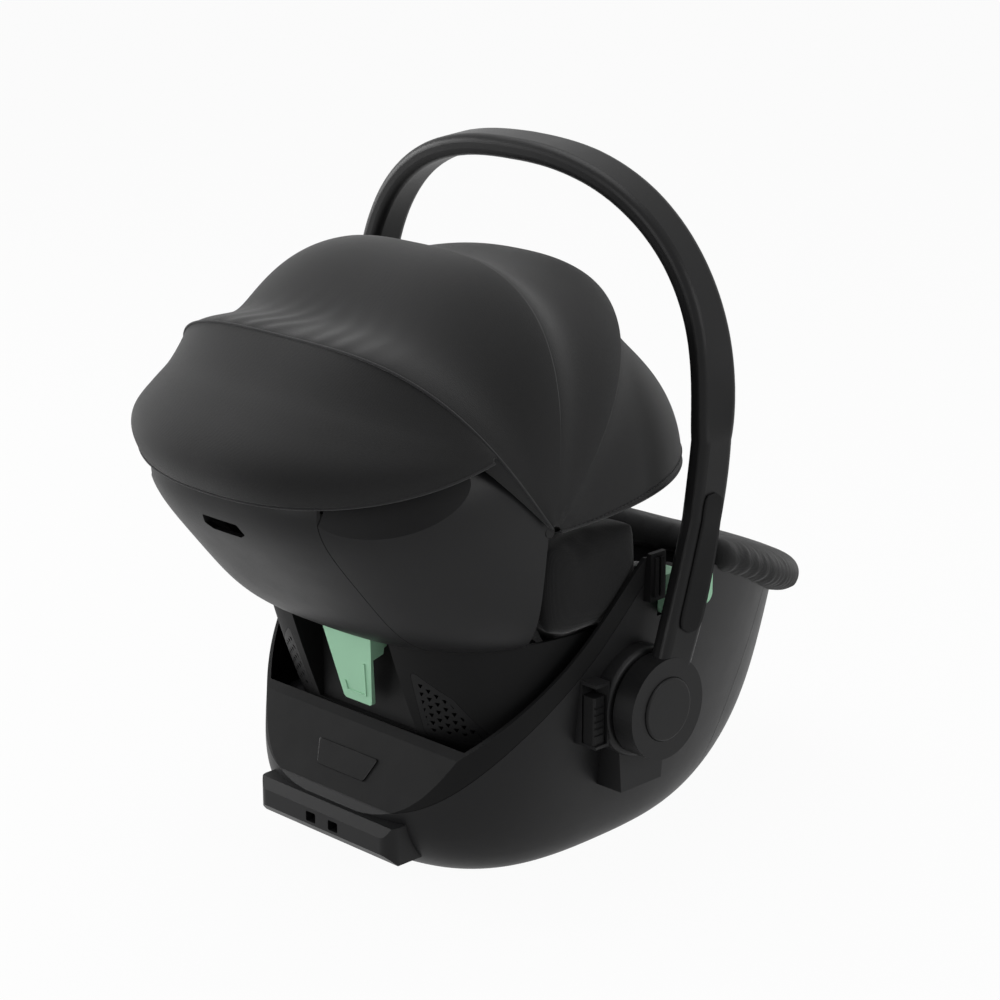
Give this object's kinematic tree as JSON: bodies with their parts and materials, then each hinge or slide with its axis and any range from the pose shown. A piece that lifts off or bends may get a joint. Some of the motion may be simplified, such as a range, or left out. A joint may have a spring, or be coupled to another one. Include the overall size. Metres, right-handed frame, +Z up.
{
  "type": "infant car seat",
  "caption": "Rear-facing infant carrier seat with hooped carrying handle on side hubs, folding fabric canopy, belt guides, perforated rear vents, headrest and harness.",
  "frame": {"origin": "on the floor, midway between the sides, below the axis of the handle pivots", "axes": "+Z up, +Y towards the head end, +X towards the left side seen from behind the head looking to the feet"},
  "size_m": [0.4383, 0.6579, 0.5984],
  "materials": {
    "shell_plastic": "fine satin grain",
    "accent_plastic": "satin",
    "pin_steel": "turned",
    "button_red": "satin",
    "foam": "beaded foam",
    "outer_fabric": "close woven cloth",
    "inner_fabric": "soft knit",
    "webbing": "woven webbing",
    "bow_plastic": "satin"
  },
  "bodies": {
    "seat": {"lower_shell": "shell_plastic", "front_shell": "shell_plastic", "rim_cover": "shell_plastic", "back_panel": "shell_plastic", "vent_grille_left": "shell_plastic", "vent_grille_right": "shell_plastic", "belt_tray": "shell_plastic", "head_shell_center": "shell_plastic", "head_shell_left": "shell_plastic", "head_shell_right": "shell_plastic", "dock_block": "shell_plastic", "hub_housing_left": "shell_plastic", "hub_housing_right": "shell_plastic", "wing_clip_left": "shell_plastic", "wing_clip_right": "shell_plastic", "seat_back": "shell_plastic", "buckle_body": "shell_plastic", "adjuster_housing": "shell_plastic", "shoulder_belt_hook": "accent_plastic", "lap_guide_left": "accent_plastic", "lap_guide_right": "accent_plastic", "handle_pins": "pin_steel", "canopy_pins": "pin_steel", "foam_tub": "foam", "canopy_rear_panel": "outer_fabric", "side_wing_left": "outer_fabric", "side_wing_right": "outer_fabric", "front_cuff": "outer_fabric", "back_cushion": "inner_fabric", "seat_cushion": "inner_fabric", "side_liner_left": "inner_fabric", "side_liner_right": "inner_fabric", "shoulder_pads": "inner_fabric", "crotch_pad": "inner_fabric", "shoulder_straps": "webbing", "canopy_rear_bow": "bow_plastic"},
    "handle": {"handle_bar": "shell_plastic"},
    "handle_button_left": {"handle_button_left": "shell_plastic"},
    "handle_button_right": {"handle_button_right": "shell_plastic"},
    "adapter_slide_left": {"adapter_slide_left": "shell_plastic"},
    "adapter_slide_right": {"adapter_slide_right": "shell_plastic"},
    "canopy_mid": {"canopy_mid_bow": "bow_plastic", "canopy_mid_panel": "outer_fabric"},
    "canopy_front": {"canopy_front_bow": "bow_plastic", "canopy_top_panel": "outer_fabric"},
    "canopy_visor": {"canopy_visor_bow": "bow_plastic", "canopy_visor": "outer_fabric"},
    "headrest": {"headrest_shell": "shell_plastic", "headrest_pad": "inner_fabric"},
    "buckle_button": {"buckle_button": "button_red"},
    "adjuster_button": {"adjuster_button": "shell_plastic"}
  },
  "joints": [
    {"name": "handle_swing", "type": "hinge", "parent": "seat", "child": "handle", "pos_m": [0, 0, 0.148], "axis": [1, 0, 0], "range_deg": [-100, 0]},
    {"name": "handle_button_left_press", "type": "slide", "parent": "handle", "child": "handle_button_left", "axis": [-1, 0, 0], "range_m": [0, 0.005], "stiffness_N_per_m": 600, "springref_m": -0.002},
    {"name": "handle_button_right_press", "type": "slide", "parent": "handle", "child": "handle_button_right", "axis": [1, 0, 0], "range_m": [0, 0.005], "stiffness_N_per_m": 600, "springref_m": -0.002},
    {"name": "adapter_slide_left_lift", "type": "slide", "parent": "seat", "child": "adapter_slide_left", "axis": [0, 0, 1], "range_m": [0, 0.008], "stiffness_N_per_m": 300, "springref_m": -0.002},
    {"name": "adapter_slide_right_lift", "type": "slide", "parent": "seat", "child": "adapter_slide_right", "axis": [0, 0, 1], "range_m": [0, 0.008], "stiffness_N_per_m": 300, "springref_m": -0.002},
    {"name": "canopy_fold", "type": "hinge", "parent": "seat", "child": "canopy_mid", "pos_m": [0, 0.105, 0.318], "axis": [1, 0, 0], "range_deg": [-36, 0], "deforming": ["canopy_mid_panel"]},
    {"name": "canopy_front_fold", "type": "hinge", "parent": "canopy_mid", "child": "canopy_front", "pos_m": [0, 0.105, 0.318], "axis": [1, 0, 0], "range_deg": [-24, 0], "deforming": ["canopy_top_panel"]},
    {"name": "canopy_visor_fold", "type": "hinge", "parent": "canopy_front", "child": "canopy_visor", "pos_m": [0, 0.105, 0.318], "axis": [1, 0, 0], "range_deg": [-41, 0], "deforming": ["canopy_visor"]},
    {"name": "headrest_lift", "type": "slide", "parent": "seat", "child": "headrest", "axis": [0, 0.6782, 0.7349], "range_m": [0, 0.06]},
    {"name": "buckle_press", "type": "slide", "parent": "seat", "child": "buckle_button", "axis": [0, 0.848, -0.5299], "range_m": [0, 0.003], "stiffness_N_per_m": 400, "springref_m": -0.002},
    {"name": "adjuster_press", "type": "slide", "parent": "seat", "child": "adjuster_button", "axis": [0, -0.3057, -0.9521], "range_m": [0, 0.004], "stiffness_N_per_m": 400, "springref_m": -0.002}
  ],
  "couplings": [
    {"joint": "canopy_front_fold", "follows": "canopy_fold", "ratio": 0.6666},
    {"joint": "canopy_visor_fold", "follows": "canopy_fold", "ratio": 1.1388}
  ]
}
